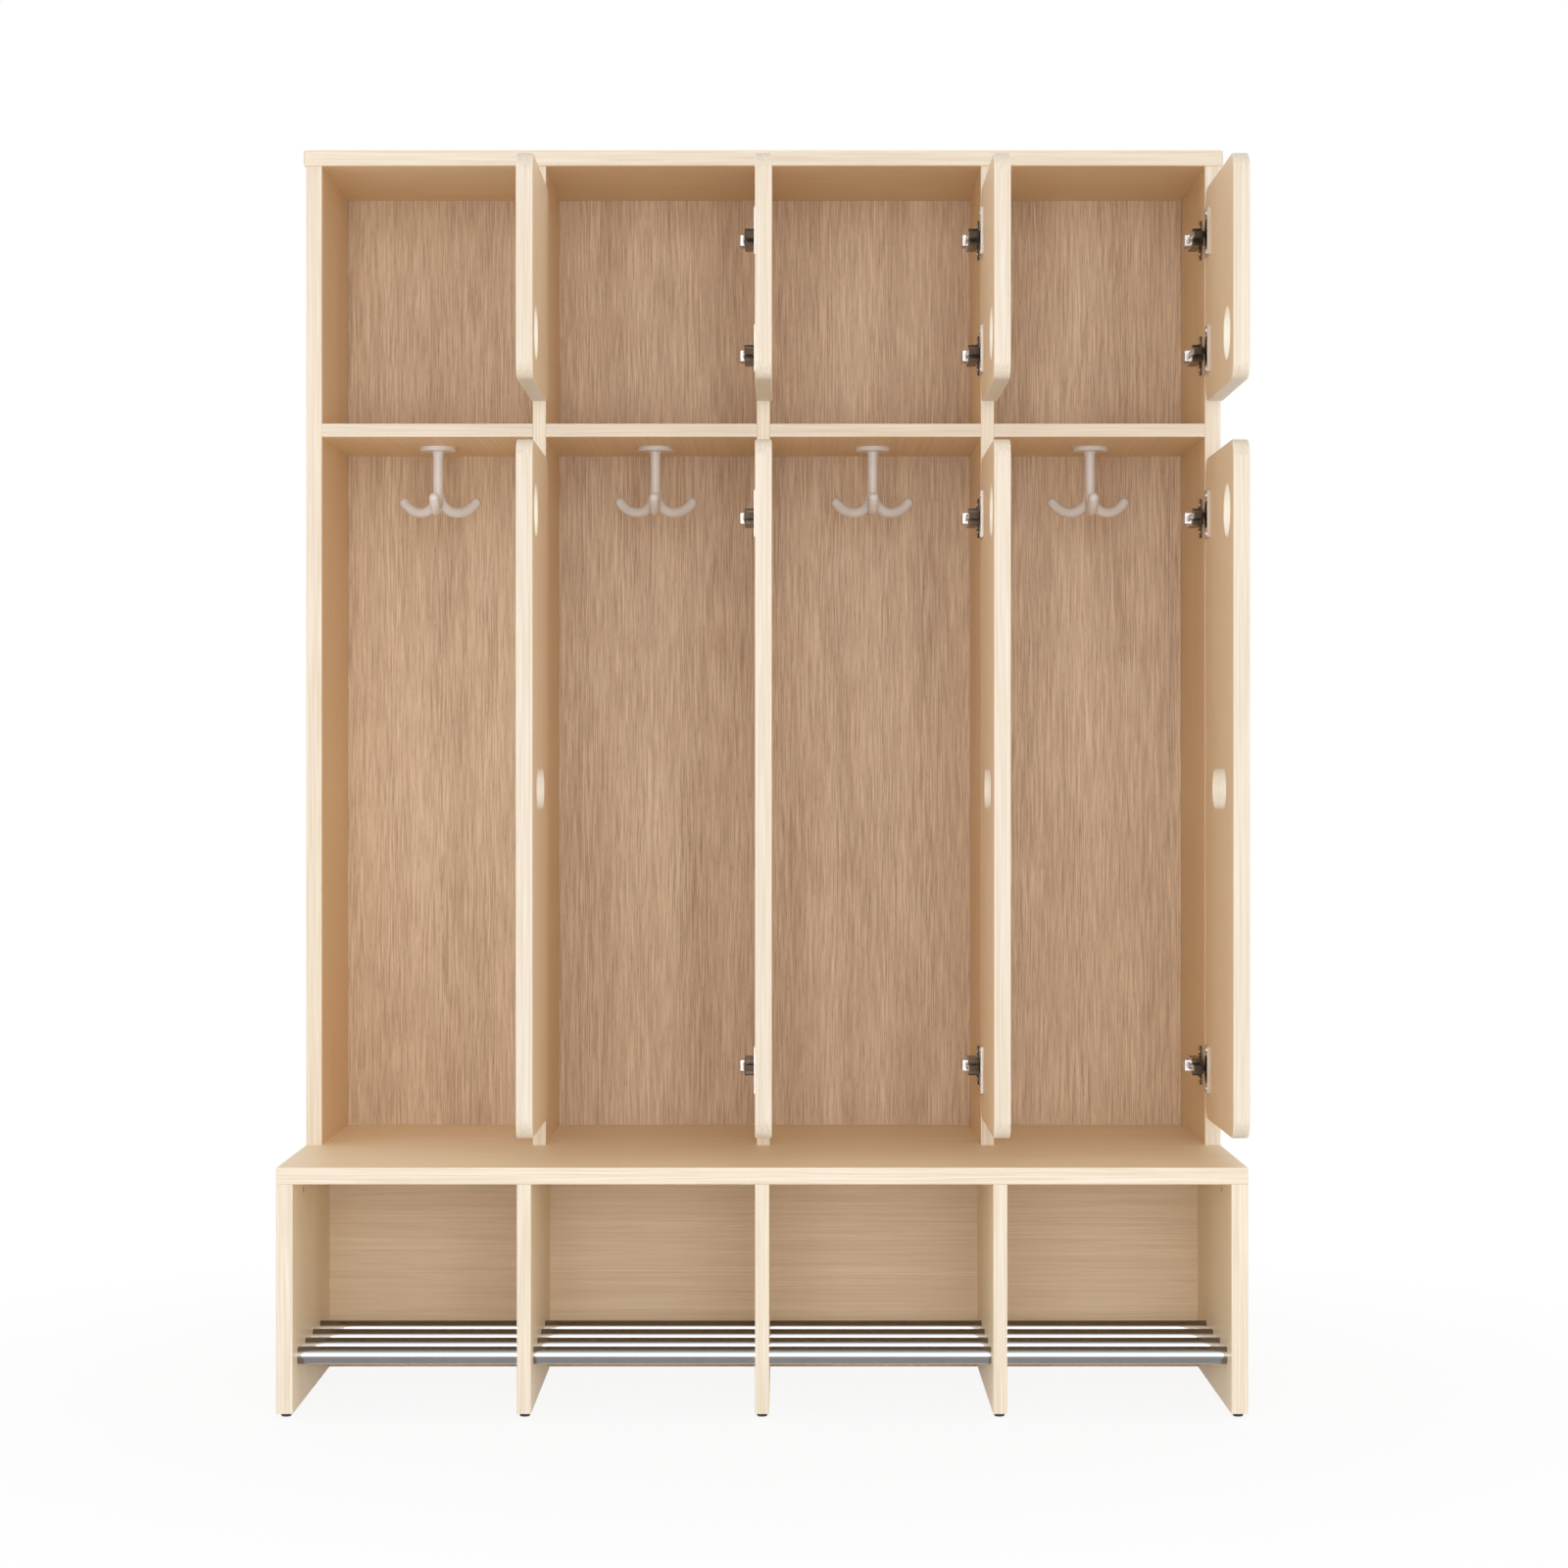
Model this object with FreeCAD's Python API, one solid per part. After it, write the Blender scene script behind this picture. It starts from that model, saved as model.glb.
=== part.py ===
import FreeCAD, Part
import math
import os

# A cloakroom bench: a low seat on five upright legs with shoe rails between them, and four lockers standing
# on the back of the seat. Each locker has a hat shelf, a coat hook under it, and an upper and a lower door.
#
# X runs along the bench, +Y goes towards the wall behind it, and +Z goes up from the floor at zero.
# The doors are built standing open, square to the lockers. Lengths are in millimetres.

Vector = FreeCAD.Vector
ALONG_X = Vector(1, 0, 0)
ALONG_Y = Vector(0, 1, 0)
ALONG_Z = Vector(0, 0, 1)

# Boards
thick_board = 19.0
thin_board = 16.0
back_board = 8.0
bay_count = 4
bay_width = 253.5
board_edge_radius = 1.2

# Depths, from front to back
seat_reach = 254.0
cabinet_inside = 253.0
shoe_bay_depth = 326.0

# Heights, one above the other
glide_height = 5.5
leg_height = 259.5
side_height = 1177.0
shelf_above_seat = 851.5

# Top board
top_overhang = 3.0
top_corner_radius = 4.0
top_edge_radius = 2.5

# Back panel
back_panel_play = 0.3

# Shoe rails
rail_radius = 10.0
rail_wall = 1.2
rail_above_leg_bottom = 58.8
first_rail_from_front = 47.0
rail_pitch = 66.0
rail_count = 4
rail_socket_depth = 10.0
rail_play = 0.15

# Foot glides
glide_radius = 6.0
glide_edge_radius = 1.5
glide_from_leg_end = 18.0
glide_nail_radius = 1.5
glide_nail_length = 14.0

# Doors
door_board = 19.0
door_corner_radius = 22.0
door_edge_radius = 2.0
door_stand_off = 2.5
door_swing_room = 2.5
gap_over_upper_door = 28.7
gap_under_upper_door = 24.5
gap_over_lower_door = 27.3
gap_under_lower_door = 32.9

# Finger holes and hand slots in the doors
finger_hole_radius = 30.0
finger_hole_from_free_edge = 60.0
upper_hole_from_bottom = 58.0
lower_hole_from_top = 77.2
hand_slot_length = 128.0
hand_slot_height = 45.0
opening_edge_radius = 1.5

# Hinge heights, from the ends of each door
upper_hinge_from_top = 55.3
upper_hinge_from_bottom = 61.0
lower_hinge_from_top = 68.2
lower_hinge_from_bottom = 60.1

# Hinge cup, let into the door
cup_radius = 17.5
cup_wall = 0.8
cup_floor = 0.8
cup_depth = 13.6
cup_from_door_edge = 3.0
cup_pocket_play = 0.1
flange_thickness = 1.5
flange_length = 58.0
flange_corner_radius = 1.8
flange_lip_height = 2.8
flange_lip_width = 2.0
flange_rim = 2.5
cheek_thickness = 2.0
cheek_margin = 1.4

# Hinge pin and the knuckle that turns on it
pin_radius = 1.2
pin_running_play = 0.05
pin_press_play = 0.02
knuckle_radius = 2.4
knuckle_width = 7.0
knuckle_side_play = 0.5
knuckle_floor_play = 0.4
knuckle_wall_play = 0.8

# Hinge arm, fixed inside the locker
nose_thickness = 3.0
nose_root = 4.0
arm_from_front = 6.0
arm_length = 54.0
arm_width = 20.0
arm_from_panel = 15.0
arm_lift = 3.0
arm_wall = 1.2
lever_length = 26.0
lever_width = 12.5
lever_height = 6.0
lever_edge_radius = 1.5

# Hinge mounting plate
plate_thickness = 2.0
plate_from_front = 37.0
plate_wing_length = 47.5
plate_wing_width = 14.0
spine_side_play = 0.2
spine_end_play = 6.0

# Screws
screw_radius = 1.75
screw_length = 13.0
screw_head_radius = 3.6
screw_head_height = 1.4
screw_recess_width = 0.9
screw_recess_depth = 0.7
screw_recess_length = 4.4
screw_play = 0.05
plate_screw_spacing = 32.0
cup_screw_spacing = 46.0
adjuster_radius = 2.5
adjuster_spacing = 14.0
adjuster_from_arm_front = 10.0
adjuster_depth = 6.0
back_screw_length = 30.0

# Dowels, cam fittings and their bolts
dowel_radius = 4.0
dowel_play = 0.1
dowel_in_panel = 20.0
dowel_in_board = 12.0
cam_radius = 4.0
cam_depth = 10.0
cam_slot_width = 1.4
cam_slot_depth = 1.5
cam_play = 0.1
top_cam_drop = 33.0
top_cam_from_front = 73.0
leg_cam_drop = 16.0
leg_cam_from_front = 91.0
cam_bolt_radius = 2.5
cam_bolt_in_board = 10.0

# Coat hooks
hook_from_cabinet_front = 135.0
hook_flange_radius = 22.0
hook_flange_thickness = 5.0
hook_flange_edge_radius = 1.6
hook_stem_radius = 6.5
hook_stem_fillet = 2.0
prong_radius = 6.4
prong_count = 3
prong_start = 1.5
prong_bend_radius = 23.5
prong_tip_radius = 33.5
prong_tip_degrees = 53.0
prong_drop = 80.0
stem_below_bend = 8.0
hook_stud_radius = 2.5
hook_stud_in_stem = 24.0
hook_stud_in_shelf = 12.0
hook_stud_play = 0.05

# Where the hidden fastenings sit, as shares of the board that they join
cabinet_dowel_shares = (0.2, 0.8)
seat_dowel_share = 0.2
shelf_dowel_shares = (0.25, 0.75)
bench_back_dowel_shares = (0.3, 0.7)
back_screw_shares = (0.08, 0.36, 0.64, 0.92)

# A cut runs this far past the face that it opens, and two places this near to each other are one place.
overrun = 5.0
same_place = 0.001

# Widths
bay_pitch = bay_width + thin_board
half_inside = (bay_count * bay_pitch - thin_board) / 2
half_width = half_inside + thick_board

# Levels
leg_bottom = glide_height
leg_top = leg_bottom + leg_height
seat_top = leg_top + thick_board
shelf_bottom = seat_top + shelf_above_seat
shelf_top = shelf_bottom + thin_board
cabinet_top = seat_top + side_height
whole_height = cabinet_top + thick_board

# The hinge pin lies in the bottom of its cup, as near to the door's hinge edge as the cup's wall allows.
# A closed door covers enough of the upright that the open door's inner face is flush with the upright's.
pin_from_door_face = cup_depth - cup_floor - knuckle_radius - knuckle_floor_play
pin_from_door_edge = cup_from_door_edge + cup_wall + knuckle_radius + knuckle_wall_play
door_overlay = pin_from_door_edge + pin_from_door_face
gap_between_doors = door_board - door_overlay + door_swing_room
door_width = bay_pitch - gap_between_doors

# Places from front to back. The origin is under the middle of the box around the bench with open doors.
cabinet_depth = cabinet_inside + back_board
door_edge_stand_off = door_stand_off + pin_from_door_face - pin_from_door_edge
door_reach = door_edge_stand_off + door_width
whole_depth = max(door_reach, seat_reach) + cabinet_depth
rear = whole_depth / 2
cabinet_front = rear - cabinet_depth
back_face = cabinet_front + cabinet_inside
seat_front = cabinet_front - seat_reach
bench_back_face = seat_front + shoe_bay_depth

# The hinge pin and the open door, measured from the hinge upright's inner face and the cabinet's front
pin_x = door_overlay - pin_from_door_edge
pin_y = -door_stand_off - pin_from_door_face
door_face_x = pin_x - pin_from_door_face
door_edge_y = pin_y + pin_from_door_edge
cup_y = door_edge_y - cup_from_door_edge - cup_radius


def block(x_span, y_span, z_span):
    """A box between the given low and high places."""
    corner = Vector(x_span[0], y_span[0], z_span[0])
    return Part.makeBox(x_span[1] - x_span[0], y_span[1] - y_span[0], z_span[1] - z_span[0], corner)


def rod(radius, length, start, direction):
    return Part.makeCylinder(radius, length, start, direction)


def about(centre, width):
    """The span of a width that is centred on a place."""
    return (centre - width / 2, centre + width / 2)


def at_share(low, high, share):
    return low + share * (high - low)


def moved(shape, x, y, z):
    copy = shape.copy()
    copy.translate(Vector(x, y, z))
    return copy


def without(solid, cutters):
    """A solid with every cutter taken out of it."""
    cutters = list(cutters)
    return solid.cut(Part.makeCompound(cutters)) if cutters else solid


def rounded(solid, radius, wanted):
    """A solid with the edges that a test picks rounded."""
    return solid.makeFillet(radius, [edge for edge in solid.Edges if wanted(edge)])


def lies_at(low, high, place):
    return abs(low - place) < same_place and abs(high - place) < same_place


def along_front(edge, front):
    """True for an edge that lies in the front plane and isn't one of its short ends."""
    box = edge.BoundBox
    return lies_at(box.YMin, box.YMax, front)


def upright_span(index):
    """The low and high X of upright number index, counted from the left end."""
    if index == 0:
        return (-half_width, -half_inside)
    if index == bay_count:
        return (half_inside, half_width)
    low = -half_inside + index * bay_pitch - thin_board
    return (low, low + thin_board)


def upright_middle(index):
    return sum(upright_span(index)) / 2


def bay_span(index):
    """The clear X span of bay number index, between its two uprights."""
    return (upright_span(index)[1], upright_span(index + 1)[0])


def hinge_face(bay):
    """The X of the face that carries a bay's hinges, on the bay's right."""
    return bay_span(bay)[1]


def is_outer(index):
    return index in (0, bay_count)


def cam_side(index):
    """Which way a cam opens: to the right on the left end and the last divider, to the left on the rest."""
    return 1 if index in (0, bay_count - 1) else -1


UPRIGHTS = range(bay_count + 1)
BAYS = range(bay_count)


def cabinet_dowel_places():
    return [at_share(cabinet_front, back_face, share) for share in cabinet_dowel_shares]


def vertical_dowel(index, y, low, high, play=0.0):
    return rod(dowel_radius + play, high - low, Vector(upright_middle(index), y, low), ALONG_Z)


def top_dowels(play=0.0):
    low = cabinet_top - dowel_in_panel - play
    high = cabinet_top + dowel_in_board + play
    return [vertical_dowel(i, y, low, high, play) for i in UPRIGHTS for y in cabinet_dowel_places()]


def seat_dowels(play=0.0):
    """Long dowels through leg, seat and cabinet upright in one line, and a short one at the front."""
    low = leg_top - dowel_in_panel - play
    dowels = []
    for index in UPRIGHTS:
        for y in cabinet_dowel_places():
            dowels.append(vertical_dowel(index, y, low, seat_top + dowel_in_panel + play, play))
        front = at_share(seat_front, cabinet_front, seat_dowel_share)
        dowels.append(vertical_dowel(index, front, low, leg_top + dowel_in_board + play, play))
    return dowels


def cross_dowels(y_places, z_places, play=0.0):
    """Dowels along X that go right through the inner uprights and part way into the outer ones."""
    dowels = []
    for index in UPRIGHTS:
        low, high = upright_span(index)
        start = high - dowel_in_board if index == 0 else low - dowel_in_panel
        end = low + dowel_in_board if index == bay_count else high + dowel_in_panel
        for y in y_places:
            for z in z_places:
                start_at = Vector(start - play, y, z)
                dowels.append(rod(dowel_radius + play, end - start + 2 * play, start_at, ALONG_X))
    return dowels


def shelf_dowels(play=0.0):
    y_places = [at_share(cabinet_front, back_face, share) for share in shelf_dowel_shares]
    return cross_dowels(y_places, [(shelf_bottom + shelf_top) / 2], play)


def bench_back_dowels(play=0.0):
    z_places = [at_share(leg_bottom, leg_top, share) for share in bench_back_dowel_shares]
    return cross_dowels([bench_back_face + thin_board / 2], z_places, play)


def cam_places():
    """Each cam as its upright, its Y and Z, and the level of the joint that its bolt pulls together."""
    places = []
    for index in UPRIGHTS:
        for y in (cabinet_front + top_cam_from_front, back_face - top_cam_from_front):
            places.append((index, y, cabinet_top - top_cam_drop, cabinet_top))
        for y in (seat_front + leg_cam_from_front, rear - leg_cam_from_front):
            places.append((index, y, leg_top - leg_cam_drop, leg_top))
    return places


def cam_body(index, y, z, play=0.0):
    low, high = upright_span(index)
    face = high if cam_side(index) > 0 else low
    return rod(cam_radius + play, cam_depth + play, Vector(face, y, z), ALONG_X * -cam_side(index))


def cam(index, y, z):
    """A cam disc, flush with the board's face, with a screwdriver slot across it."""
    low, high = upright_span(index)
    face = high if cam_side(index) > 0 else low
    inner = face - cam_side(index) * cam_slot_depth
    outer = face + cam_side(index) * overrun
    slot = block(sorted((inner, outer)), about(y, cam_slot_width), about(z, 2 * (cam_radius + overrun)))
    return cam_body(index, y, z).cut(slot)


def cam_bolt(index, y, z, joint, play=0.0):
    """A bolt from a cam's rim, up through the joint and into the board above it."""
    low = z + cam_radius
    length = joint + cam_bolt_in_board + play - low
    return rod(cam_bolt_radius + play, length, Vector(upright_middle(index), y, low), ALONG_Z)


def fitting_cutters():
    """The pockets and bores for every cam and its bolt."""
    bodies = [cam_body(index, y, z, cam_play) for index, y, z, joint in cam_places()]
    bolts = [cam_bolt(index, y, z, joint, cam_play) for index, y, z, joint in cam_places()]
    return bodies + bolts


def door_levels():
    """The upper and the lower door: ends, hinges, finger hole, and whether it has a hand slot."""
    upper_low = shelf_top + gap_under_upper_door
    upper_high = cabinet_top - gap_over_upper_door
    lower_low = seat_top + gap_under_lower_door
    lower_high = shelf_bottom - gap_over_lower_door
    return {
        "upper": {
            "span": (upper_low, upper_high),
            "hinges": (upper_high - upper_hinge_from_top, upper_low + upper_hinge_from_bottom),
            "hole": upper_low + upper_hole_from_bottom,
            "slot": False,
        },
        "lower": {
            "span": (lower_low, lower_high),
            "hinges": (lower_high - lower_hinge_from_top, lower_low + lower_hinge_from_bottom),
            "hole": lower_high - lower_hole_from_top,
            "slot": True,
        },
    }


def hinge_levels():
    return [level for door in door_levels().values() for level in door["hinges"]]


def screw(length, radius, head_radius):
    """A flat-headed screw with a cross recess: its head stands on X = 0 and its shank runs along +X."""
    head = rod(head_radius, screw_head_height, Vector(-screw_head_height, 0, 0), ALONG_X)
    head = rounded(head, screw_head_height / 2, lambda edge: lies_at(edge.BoundBox.XMin, edge.BoundBox.XMax,
                                                                    -screw_head_height))
    solid = head.fuse(rod(radius, length, Vector(0, 0, 0), ALONG_X)).removeSplitter()
    depth = (-screw_head_height - overrun, -screw_head_height + screw_recess_depth)
    bar = about(0, screw_recess_length)
    slit = about(0, screw_recess_width)
    return solid.cut(block(depth, bar, slit)).cut(block(depth, slit, bar))


def screw_bore(length, radius, play):
    """What a screw's shank takes out of a board below X = 0, a little wider and deeper than the shank."""
    return rod(radius + play, length + play + overrun, Vector(-overrun, 0, 0), ALONG_X)


def plate_screw_places():
    return [(0, plate_from_front, side * plate_screw_spacing / 2) for side in (-1, 1)]


def cup_screw_places():
    return [(door_face_x, cup_y, side * cup_screw_spacing / 2) for side in (-1, 1)]


def adjuster_places():
    first = arm_from_front + adjuster_from_arm_front
    return [(-arm_from_panel, first + step * adjuster_spacing, 0) for step in (0, 1)]


def screw_bores(places):
    return [moved(screw_bore(screw_length, screw_radius, screw_play), *place) for place in places]


def adjuster_bores():
    bore = screw_bore(adjuster_depth, adjuster_radius, screw_play)
    return [moved(bore, *place) for place in adjuster_places()]


def hinge_plate():
    """A cross-shaped plate on the upright, with a spine that the arm clips over."""
    wing_width = about(plate_from_front, plate_wing_width)
    wings = block((-plate_thickness, 0), wing_width, about(0, plate_wing_length))
    wings = rounded(wings, plate_wing_width / 3,
                    lambda edge: edge.BoundBox.XLength > plate_thickness - same_place)
    spine_width = arm_width - 2 * arm_wall - 2 * spine_side_play
    spine_span = (arm_from_front + spine_end_play, arm_from_front + arm_length - spine_end_play)
    spine = block((-arm_from_panel + arm_wall, 0), spine_span, about(0, spine_width))
    plate = wings.fuse(spine).removeSplitter()
    return without(plate, screw_bores(plate_screw_places()) + adjuster_bores())


def hinge_arm():
    """A channel, open in front, that clips over the plate, and a nose that reaches the pin in the cup."""
    width = about(0, arm_width)
    arm_span = (arm_from_front, arm_from_front + arm_length)
    channel = block((-arm_from_panel, -arm_lift), arm_span, width)
    channel = rounded(channel, arm_wall, lambda edge: lies_at(edge.BoundBox.XMin, edge.BoundBox.XMax,
                                                              -arm_from_panel))
    hollow = block((-arm_from_panel + arm_wall, -arm_lift + overrun),
                   (arm_from_front - overrun, arm_from_front + arm_length + overrun),
                   about(0, arm_width - 2 * arm_wall))
    channel = channel.cut(hollow)
    lever_end = arm_from_front + arm_length
    lever = block((-arm_from_panel - lever_height, -arm_from_panel), (lever_end - lever_length, lever_end),
                  about(0, lever_width))
    lever = rounded(lever, lever_edge_radius, lambda edge: lies_at(edge.BoundBox.XMin, edge.BoundBox.XMax,
                                                                   -arm_from_panel - lever_height))
    nose_width = about(0, knuckle_width)
    nose_y = (pin_y - knuckle_radius, pin_y - knuckle_radius + nose_thickness)
    bar = block((-arm_from_panel, pin_x), nose_y, nose_width)
    riser = block((-arm_from_panel, -arm_from_panel + nose_thickness),
                  (nose_y[0], arm_from_front + nose_root), nose_width)
    knuckle = rod(knuckle_radius, knuckle_width, Vector(pin_x, pin_y, nose_width[0]), ALONG_Z)
    nose = bar.fuse(riser).removeSplitter()
    nose = rounded(nose, nose_thickness / 2, lambda edge: lies_at(edge.BoundBox.XMin, edge.BoundBox.XMax,
                                                                  -arm_from_panel)
                   and lies_at(edge.BoundBox.YMin, edge.BoundBox.YMax, nose_y[0]))
    arm = channel.fuse([lever, nose, knuckle]).removeSplitter()
    bore = rod(pin_radius + pin_running_play, knuckle_width + 2 * overrun,
               Vector(pin_x, pin_y, nose_width[0] - overrun), ALONG_Z)
    return without(arm, [bore] + adjuster_bores())


def pin_span():
    half = knuckle_width / 2 + knuckle_side_play + cheek_thickness
    return (-half, half)


def hinge_pin(play=0.0):
    low, high = pin_span()
    return rod(pin_radius + play, high - low, Vector(pin_x, pin_y, low), ALONG_Z)


def hinge_cup():
    """A pressed cup let into the door, with a lipped flange on its face and two cheeks that hold the pin."""
    centre = Vector(door_face_x, cup_y, 0)
    flange_x = door_face_x - flange_thickness
    cup = rod(cup_radius, cup_depth, centre, ALONG_X)
    flange_end = door_edge_y - cup_from_door_edge - cup_wall
    lip_y = cup_y - cup_radius - flange_rim
    flange = block((flange_x, door_face_x), (lip_y, flange_end), about(0, flange_length))
    lip = block((door_face_x - flange_lip_height, door_face_x), (lip_y, lip_y + flange_lip_width),
                about(0, flange_length))
    flange = flange.fuse(lip).removeSplitter()
    flange = rounded(flange, flange_corner_radius,
                     lambda edge: edge.BoundBox.XLength > flange_lip_height - same_place)
    shell = cup.fuse(flange).removeSplitter()
    inner_radius = cup_radius - cup_wall
    inner_depth = cup_depth - cup_floor
    hollow = rod(inner_radius, inner_depth + flange_thickness + overrun,
                 Vector(flange_x - overrun, cup_y, 0), ALONG_X)
    shell = shell.cut(hollow)
    cheek_reach = pin_radius + cheek_margin
    cheeks = []
    for side in (-1, 1):
        near = side * (knuckle_width / 2 + knuckle_side_play)
        far = near + side * cheek_thickness
        cheek = block((pin_x - cheek_reach, door_face_x + inner_depth),
                      (pin_y - cheek_reach, pin_y + cup_radius), sorted((near, far)))
        cheeks.append(cheek.common(rod(inner_radius + cup_wall / 2, cup_depth, centre, ALONG_X)))
    shell = shell.fuse(cheeks).removeSplitter()
    return without(shell, [hinge_pin(pin_press_play)] + screw_bores(cup_screw_places()))


def cup_pocket():
    """What one hinge takes out of a door: the pocket for its cup and the bores for its two screws."""
    pocket = rod(cup_radius + cup_pocket_play, cup_depth + cup_pocket_play + overrun,
                 Vector(door_face_x - overrun, cup_y, 0), ALONG_X)
    return [pocket] + screw_bores(cup_screw_places())


def hinge_screws():
    """The screws of one hinge that stay with the locker: two in the plate's wings and two in the arm."""
    plate_screw = screw(screw_length, screw_radius, screw_head_radius)
    adjuster = screw(adjuster_depth, adjuster_radius, screw_head_radius)
    screws = [moved(plate_screw, x - plate_thickness, y, z) for x, y, z in plate_screw_places()]
    return screws + [moved(adjuster, *place) for place in adjuster_places()]


def cup_screws():
    cup_screw = screw(screw_length, screw_radius, screw_head_radius)
    return [moved(cup_screw, x - flange_thickness, y, z) for x, y, z in cup_screw_places()]


def upright_screw_bores(bay):
    """The bores for every hinge plate's screws in the upright on the right of a bay."""
    bores = screw_bores(plate_screw_places())
    return [moved(bore, hinge_face(bay), cabinet_front, level) for level in hinge_levels() for bore in bores]


def in_place(shape, bay, level):
    """A hinge piece carried from its own corner to one of the lockers."""
    return moved(shape, hinge_face(bay), cabinet_front, level)


def stadium(length, height, x_span, centre_y, centre_z):
    """A long hole with round ends, lying along Y."""
    radius = height / 2
    half = length / 2 - radius
    depth = x_span[1] - x_span[0]
    ends = [rod(radius, depth, Vector(x_span[0], centre_y + side * half, centre_z), ALONG_X)
            for side in (-1, 1)]
    middle = block(x_span, (centre_y - half, centre_y + half), about(centre_z, height))
    return middle.fuse(ends).removeSplitter()


def door(bay, level):
    """An open door: a board with round corners, a finger hole, perhaps a hand slot, and cup pockets."""
    face = hinge_face(bay) + door_face_x
    hinge_edge = cabinet_front + door_edge_y
    free_edge = hinge_edge - door_width
    x_span = (face, face + door_board)
    leaf = block(x_span, (free_edge, hinge_edge), level["span"])
    leaf = rounded(leaf, door_corner_radius, lambda edge: edge.BoundBox.XLength > door_board - same_place)
    through = (x_span[0] - overrun, x_span[1] + overrun)
    hole_y = free_edge + finger_hole_from_free_edge
    hole_start = Vector(through[0], hole_y, level["hole"])
    cutters = [rod(finger_hole_radius, through[1] - through[0], hole_start, ALONG_X)]
    if level["slot"]:
        middle = sum(level["span"]) / 2
        across = (free_edge + hinge_edge) / 2
        cutters.append(stadium(hand_slot_length, hand_slot_height, through, across, middle))
    leaf = without(leaf, cutters)
    outline = {"y": (free_edge, hinge_edge), "z": level["span"]}

    def on_outline(edge):
        box = edge.BoundBox
        on_face = lies_at(box.XMin, box.XMax, x_span[0]) or lies_at(box.XMin, box.XMax, x_span[1])
        inside_front = box.YMin > outline["y"][0] + door_corner_radius
        inside_y = inside_front and box.YMax < outline["y"][1] - door_corner_radius
        inside_z = box.ZMin > outline["z"][0] + same_place and box.ZMax < outline["z"][1] - same_place
        return on_face and not (inside_y and inside_z)

    def on_opening(edge):
        box = edge.BoundBox
        on_face = lies_at(box.XMin, box.XMax, x_span[0]) or lies_at(box.XMin, box.XMax, x_span[1])
        inside_y = box.YMin > outline["y"][0] + door_edge_radius + same_place
        inside_z = box.ZMin > outline["z"][0] + door_edge_radius + same_place
        inside_top = box.ZMax < outline["z"][1] - door_edge_radius - same_place
        inside_back = box.YMax < outline["y"][1] - door_edge_radius - same_place
        return on_face and inside_y and inside_z and inside_top and inside_back

    leaf = rounded(leaf, door_edge_radius, on_outline)
    leaf = rounded(leaf, opening_edge_radius, on_opening)
    pockets = [in_place(cutter, bay, height) for height in level["hinges"] for cutter in cup_pocket()]
    return without(leaf, pockets)


def coat_hook():
    """A one-piece moulded hook: a round flange, a stem, and prongs that bend out of it and turn up."""
    stem_end = -prong_drop + prong_bend_radius - stem_below_bend
    flange = rod(hook_flange_radius, hook_flange_thickness, Vector(0, 0, -hook_flange_thickness), ALONG_Z)
    stem = rod(hook_stem_radius, -stem_end, Vector(0, 0, stem_end), ALONG_Z)
    body = flange.fuse(stem).removeSplitter()

    def at_flange_foot(edge):
        box = edge.BoundBox
        return lies_at(box.ZMin, box.ZMax, -hook_flange_thickness) and box.XLength < hook_flange_radius

    def at_flange_rim(edge):
        box = edge.BoundBox
        return lies_at(box.ZMin, box.ZMax, -hook_flange_thickness) and box.XLength > hook_flange_radius

    body = rounded(body, hook_stem_fillet, at_flange_foot)
    body = rounded(body, hook_flange_edge_radius, at_flange_rim)
    body = body.fuse(Part.makeSphere(hook_stem_radius, Vector(0, 0, stem_end)))
    prongs = []
    for number in range(prong_count):
        arm = prong()
        turn = math.degrees(2 * math.pi * number / prong_count - math.pi / 2)
        arm.rotate(Vector(0, 0, 0), ALONG_Z, turn)
        prongs.append(arm)
    body = body.fuse(prongs).removeSplitter()
    return body.cut(hook_stud(hook_stud_play))


def prong():
    """One prong along +X: a quarter bend out of the stem, then a longer bend up to a round tip."""
    bend_centre = Vector(prong_start + prong_bend_radius, 0, -prong_drop + prong_bend_radius)
    low_point = Vector(bend_centre.x, 0, -prong_drop)
    start = Vector(prong_start, 0, bend_centre.z)
    slant = math.sqrt(0.5) * prong_bend_radius
    bend = Part.Arc(start, Vector(bend_centre.x - slant, 0, bend_centre.z - slant), low_point).toShape()
    rise = math.radians(prong_tip_degrees)

    def on_tip_bend(angle):
        return Vector(low_point.x + prong_tip_radius * math.sin(angle), 0,
                      low_point.z + prong_tip_radius * (1 - math.cos(angle)))

    tip = on_tip_bend(rise)
    upturn = Part.Arc(low_point, on_tip_bend(rise / 2), tip).toShape()
    path = Part.Wire([bend, upturn])
    section = Part.Wire([Part.makeCircle(prong_radius, start, ALONG_Z)])
    tube = path.makePipeShell([section], True, True)
    return tube.fuse(Part.makeSphere(prong_radius, tip)).removeSplitter()


def hook_stud(play=0.0):
    low = -hook_stud_in_stem - play
    return rod(hook_stud_radius + play, hook_stud_in_shelf + play - low, Vector(0, 0, low), ALONG_Z)


def hook_place(bay):
    return (sum(bay_span(bay)) / 2, cabinet_front + hook_from_cabinet_front, shelf_bottom)


def rail_places():
    """The Y of each shoe rail, from the front."""
    return [seat_front + first_rail_from_front + number * rail_pitch for number in range(rail_count)]


def rail_z():
    return leg_bottom + rail_above_leg_bottom


def shoe_rail(y):
    """A plain tube from end leg to end leg, through the legs between."""
    half = half_inside + rail_socket_depth
    start = Vector(-half, y, rail_z())
    inside = rod(rail_radius - rail_wall, 2 * half, start, ALONG_X)
    return rod(rail_radius, 2 * half, start, ALONG_X).cut(inside)


def rail_bores():
    half = half_inside + rail_socket_depth + rail_play
    return [rod(rail_radius + rail_play, 2 * half, Vector(-half, y, rail_z()), ALONG_X)
            for y in rail_places()]


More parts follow.
